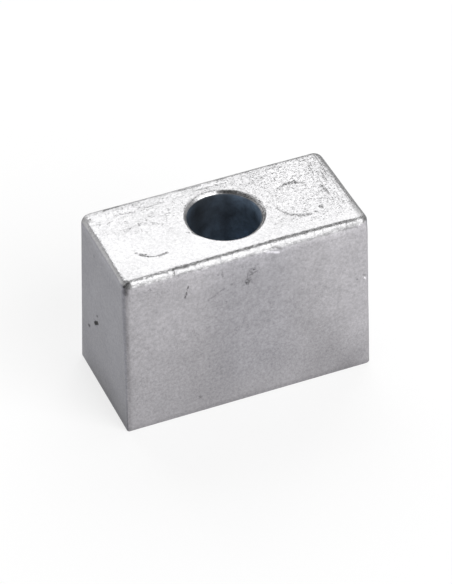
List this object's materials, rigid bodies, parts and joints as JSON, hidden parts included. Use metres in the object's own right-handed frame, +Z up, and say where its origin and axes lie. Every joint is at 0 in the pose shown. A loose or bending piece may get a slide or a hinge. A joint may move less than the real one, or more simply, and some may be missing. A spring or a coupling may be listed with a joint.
{
  "type": "sacrificial anode",
  "caption": "Cast zinc block anode with drafted walls, rounded top edges and a plain bolt bore through its height, standing on a flat seat.",
  "frame": {"origin": "middle of the seat face, at the bottom of the block, on the bore's axis", "axes": "+X along the block's length, +Y across its width to the rear edge, +Z up the bore from the seat to the top face"},
  "size_m": [0.04, 0.0196, 0.028],
  "materials": {
    "zinc": "as-cast zinc: dull silver grey with a fine sandy grain, brighter on the rounded edges and dark in the bore"
  },
  "bodies": {
    "root": {"anode_block": "zinc"}
  },
  "joints": []
}
